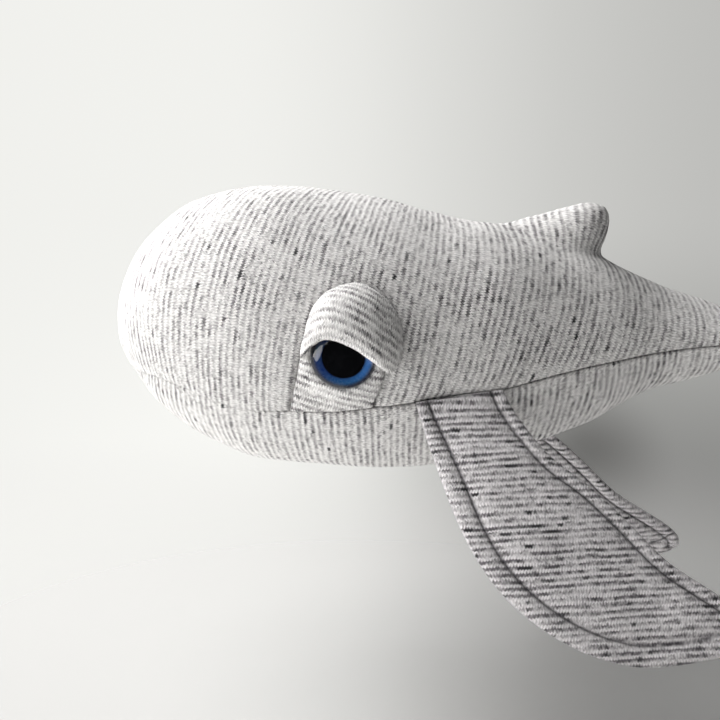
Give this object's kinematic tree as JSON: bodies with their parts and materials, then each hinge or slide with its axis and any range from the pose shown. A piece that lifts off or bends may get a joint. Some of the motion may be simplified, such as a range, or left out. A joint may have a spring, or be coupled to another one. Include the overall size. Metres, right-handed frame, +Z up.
{
  "type": "plush whale",
  "caption": "Stuffed toy whale sewn from striped jersey, with hooded eyes, flapping pectoral fins, a hooked dorsal lobe and a tail fluke.",
  "frame": {"origin": "middle of the small flat that the belly rests on, in the whale's plane of symmetry", "axes": "+X from the nose to the tail, +Y to the whale's own right, +Z up through the back"},
  "size_m": [0.3716, 0.1666, 0.1992],
  "materials": {
    "jersey": "heathered off-white jersey with thin broken charcoal stripes",
    "filling": "white polyester filling and batting",
    "lens": "clear polished dome",
    "iris": "blue with a slight pearl",
    "pupil": "black moulded disc and post",
    "washer": "white moulded lock washer"
  },
  "bodies": {
    "whale": {"body_stuffing": "filling", "lobe_stuffing": "filling", "back_panel_left": "jersey", "back_panel_right": "jersey", "belly_panel": "jersey", "eye_patch_left": "jersey", "eye_patch_right": "jersey", "eyelid_cover_left": "jersey", "eyelid_cover_right": "jersey", "eyelid_wadding_left": "filling", "eyelid_wadding_right": "filling", "eye_lens_left": "lens", "eye_lens_right": "lens", "eye_iris_left": "iris", "eye_iris_right": "iris", "eye_pupil_left": "pupil", "eye_pupil_right": "pupil", "eye_washer_left": "washer", "eye_washer_right": "washer"},
    "fin_left": {"fin_outer_left": "jersey", "fin_inner_left": "jersey", "fin_batting_left": "filling"},
    "fin_right": {"fin_outer_right": "jersey", "fin_inner_right": "jersey", "fin_batting_right": "filling"},
    "fluke": {"fluke_upper": "jersey", "fluke_lower": "jersey", "fluke_batting": "filling"}
  },
  "joints": [
    {"name": "fin_left_flap", "type": "hinge", "parent": "whale", "child": "fin_left", "pos_m": [0.02902, -0.05746, 0.03516], "axis": [-0.9708, -0.1922, -0.1434], "range_deg": [-30, 100]},
    {"name": "fin_right_flap", "type": "hinge", "parent": "whale", "child": "fin_right", "pos_m": [0.02902, 0.05746, 0.03516], "axis": [0.9708, -0.1922, 0.1434], "range_deg": [-30, 100]},
    {"name": "fluke_flap", "type": "hinge", "parent": "whale", "child": "fluke", "pos_m": [0.1942, 0, 0.06274], "axis": [0, -1, 0], "range_deg": [-50, 50]}
  ]
}
